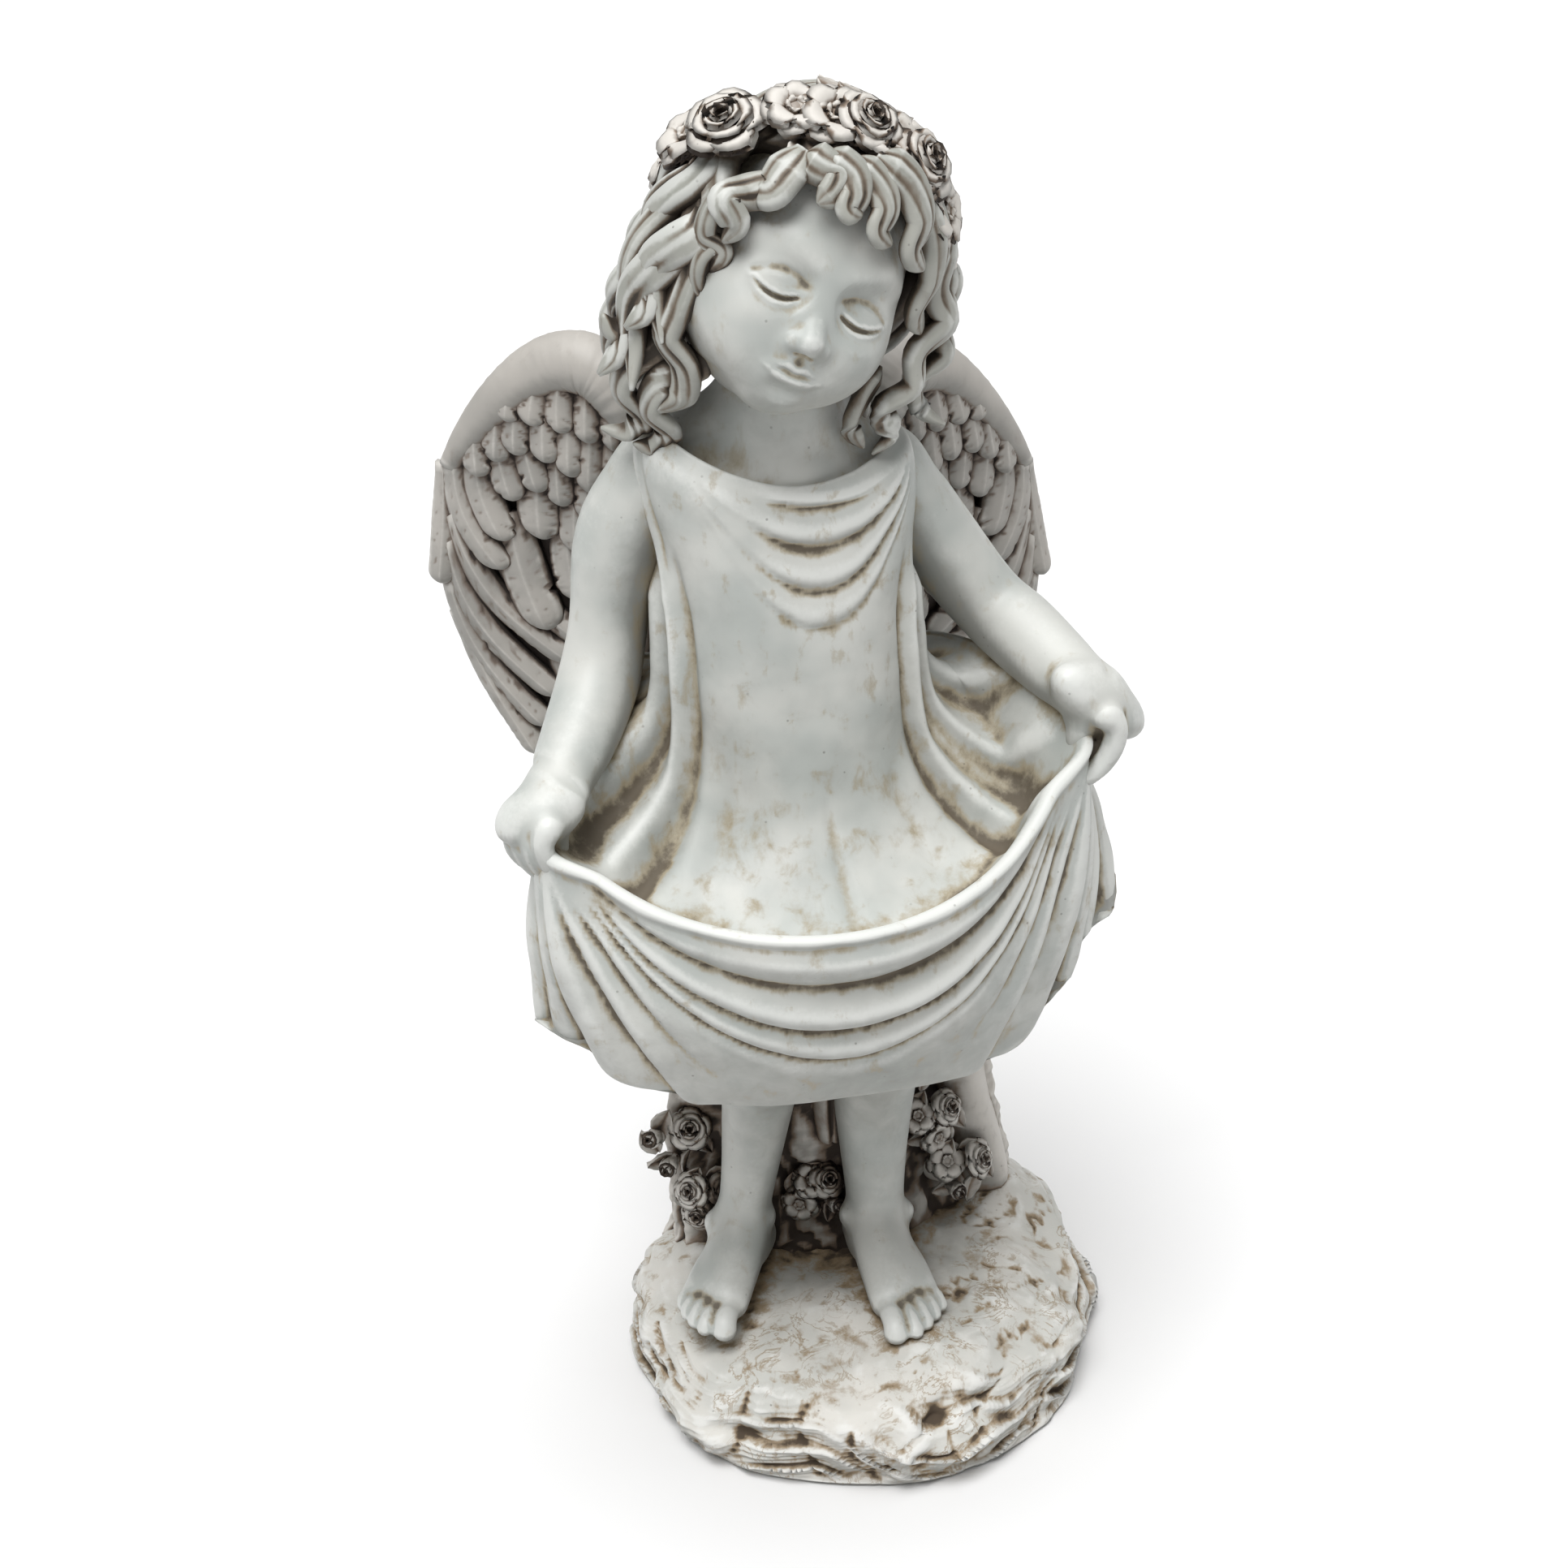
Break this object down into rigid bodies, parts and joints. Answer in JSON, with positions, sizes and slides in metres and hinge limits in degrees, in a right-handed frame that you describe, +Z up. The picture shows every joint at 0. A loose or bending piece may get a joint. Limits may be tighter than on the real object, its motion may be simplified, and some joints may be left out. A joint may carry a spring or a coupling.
{
  "type": "garden statue",
  "caption": "Cast garden statue of a small winged girl in a rose wreath, barefoot on a rock, holding out the hem of her dress as a shallow basin.",
  "frame": {"origin": "centre of the flat underside of the rock", "axes": "+Z up, the figure faces -Y and its right hand is at -X"},
  "size_m": [0.2355, 0.191, 0.513],
  "materials": {
    "cast_stone": "matt off-white resin stone with an ochre-brown antique wash in the hollows"
  },
  "bodies": {
    "root": {"cherub_statue": "cast_stone"}
  },
  "joints": []
}
